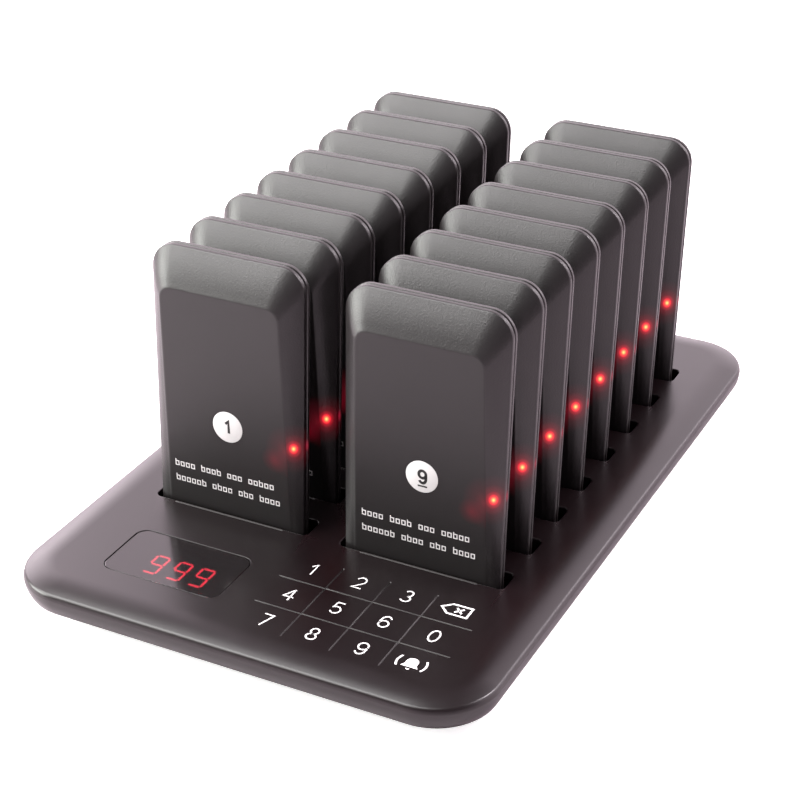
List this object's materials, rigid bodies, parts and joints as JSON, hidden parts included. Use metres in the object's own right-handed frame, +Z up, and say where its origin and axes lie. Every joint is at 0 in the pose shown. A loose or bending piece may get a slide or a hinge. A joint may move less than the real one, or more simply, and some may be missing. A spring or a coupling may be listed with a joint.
{
  "type": "restaurant pager set",
  "caption": "Low charging base with a digit display and touch keypad, holding two columns of upright wedge-shaped guest pagers that lift out of their slots.",
  "frame": {"origin": "on the table, under the middle of the base's outline", "axes": "+X to the right as the operator faces the keypad, +Y to the back of the base, +Z up"},
  "size_m": [0.2084, 0.3168, 0.1334],
  "materials": {
    "casing": "satin plum-black moulded ABS, finely grained on the pagers' sloped borders",
    "lens": "glossy smoked acrylic window",
    "display": "three-digit red seven-segment display",
    "lamp": "red light-emitting diode",
    "print_white": "white pad-printed ink",
    "circuit_board": "green solder mask over glass-fibre board",
    "black_plastic": "moulded black nylon",
    "bright_metal": "nickel-plated steel",
    "battery_wrap": "silver pouch film",
    "rubber_foot": "matt black rubber"
  },
  "bodies": {
    "base": {"top_cover": "casing", "bottom_cover": "casing", "display_window": "lens", "digit_display": "display", "main_board": "circuit_board", "touch_board": "circuit_board", "left_charge_board": "circuit_board", "right_charge_board": "circuit_board", "antenna_coil": "bright_metal", "power_jack": "black_plastic", "switch_housing": "black_plastic", "foot_front_left": "rubber_foot", "foot_front_right": "rubber_foot", "foot_rear_left": "rubber_foot", "foot_rear_right": "rubber_foot", "cover_screw_1": "bright_metal", "cover_screw_2": "bright_metal", "cover_screw_3": "bright_metal", "cover_screw_4": "bright_metal"},
    "power_rocker": {"switch_rocker": "black_plastic"},
    "pager_01": {"pager_01_front_shell": "casing", "pager_01_back_shell": "casing"},
    "pager_02": {"pager_02_front_shell": "casing", "pager_02_back_shell": "casing"},
    "pager_03": {"pager_03_front_shell": "casing", "pager_03_back_shell": "casing"},
    "pager_04": {"pager_04_front_shell": "casing", "pager_04_back_shell": "casing"},
    "pager_05": {"pager_05_front_shell": "casing", "pager_05_back_shell": "casing"},
    "pager_06": {"pager_06_front_shell": "casing", "pager_06_back_shell": "casing"},
    "pager_07": {"pager_07_front_shell": "casing", "pager_07_back_shell": "casing"},
    "pager_08": {"pager_08_front_shell": "casing", "pager_08_back_shell": "casing"},
    "pager_09": {"pager_09_front_shell": "casing", "pager_09_back_shell": "casing", "pager_09_circuit_board": "circuit_board", "pager_09_battery": "battery_wrap", "pager_09_vibration_motor": "bright_metal", "pager_09_buzzer": "black_plastic", "pager_09_led_lamp": "lamp", "pager_09_contact_strip": "black_plastic", "pager_09_case_screw": "bright_metal"},
    "pager_10": {"pager_10_front_shell": "casing", "pager_10_back_shell": "casing"},
    "pager_11": {"pager_11_front_shell": "casing", "pager_11_back_shell": "casing"},
    "pager_12": {"pager_12_front_shell": "casing", "pager_12_back_shell": "casing"},
    "pager_13": {"pager_13_front_shell": "casing", "pager_13_back_shell": "casing"},
    "pager_14": {"pager_14_front_shell": "casing", "pager_14_back_shell": "casing"},
    "pager_15": {"pager_15_front_shell": "casing", "pager_15_back_shell": "casing"},
    "pager_16": {"pager_16_front_shell": "casing", "pager_16_back_shell": "casing"},
    "motor_weight": {"pager_09_motor_weight": "bright_metal"}
  },
  "joints": [
    {"name": "pager_01_lift", "type": "slide", "parent": "base", "child": "pager_01", "axis": [0, 0, 1], "range_m": [0, 0.13]},
    {"name": "pager_02_lift", "type": "slide", "parent": "base", "child": "pager_02", "axis": [0, 0, 1], "range_m": [0, 0.13]},
    {"name": "pager_03_lift", "type": "slide", "parent": "base", "child": "pager_03", "axis": [0, 0, 1], "range_m": [0, 0.13]},
    {"name": "pager_04_lift", "type": "slide", "parent": "base", "child": "pager_04", "axis": [0, 0, 1], "range_m": [0, 0.13]},
    {"name": "pager_05_lift", "type": "slide", "parent": "base", "child": "pager_05", "axis": [0, 0, 1], "range_m": [0, 0.13]},
    {"name": "pager_06_lift", "type": "slide", "parent": "base", "child": "pager_06", "axis": [0, 0, 1], "range_m": [0, 0.13]},
    {"name": "pager_07_lift", "type": "slide", "parent": "base", "child": "pager_07", "axis": [0, 0, 1], "range_m": [0, 0.13]},
    {"name": "pager_08_lift", "type": "slide", "parent": "base", "child": "pager_08", "axis": [0, 0, 1], "range_m": [0, 0.13]},
    {"name": "pager_09_lift", "type": "slide", "parent": "base", "child": "pager_09", "axis": [0, 0, 1], "range_m": [0, 0.13]},
    {"name": "pager_10_lift", "type": "slide", "parent": "base", "child": "pager_10", "axis": [0, 0, 1], "range_m": [0, 0.13]},
    {"name": "pager_11_lift", "type": "slide", "parent": "base", "child": "pager_11", "axis": [0, 0, 1], "range_m": [0, 0.13]},
    {"name": "pager_12_lift", "type": "slide", "parent": "base", "child": "pager_12", "axis": [0, 0, 1], "range_m": [0, 0.13]},
    {"name": "pager_13_lift", "type": "slide", "parent": "base", "child": "pager_13", "axis": [0, 0, 1], "range_m": [0, 0.13]},
    {"name": "pager_14_lift", "type": "slide", "parent": "base", "child": "pager_14", "axis": [0, 0, 1], "range_m": [0, 0.13]},
    {"name": "pager_15_lift", "type": "slide", "parent": "base", "child": "pager_15", "axis": [0, 0, 1], "range_m": [0, 0.13]},
    {"name": "pager_16_lift", "type": "slide", "parent": "base", "child": "pager_16", "axis": [0, 0, 1], "range_m": [0, 0.13]},
    {"name": "power_rocker_tilt", "type": "hinge", "parent": "base", "child": "power_rocker", "pos_m": [-0.032, 0.154, 0.013], "axis": [0, 0, 1], "range_deg": [0, 16]},
    {"name": "motor_weight_spin", "type": "hinge", "parent": "pager_09", "child": "motor_weight", "pos_m": [0.04035, -0.0694, 0.12], "axis": [1, 0, 0], "continuous": true}
  ]
}
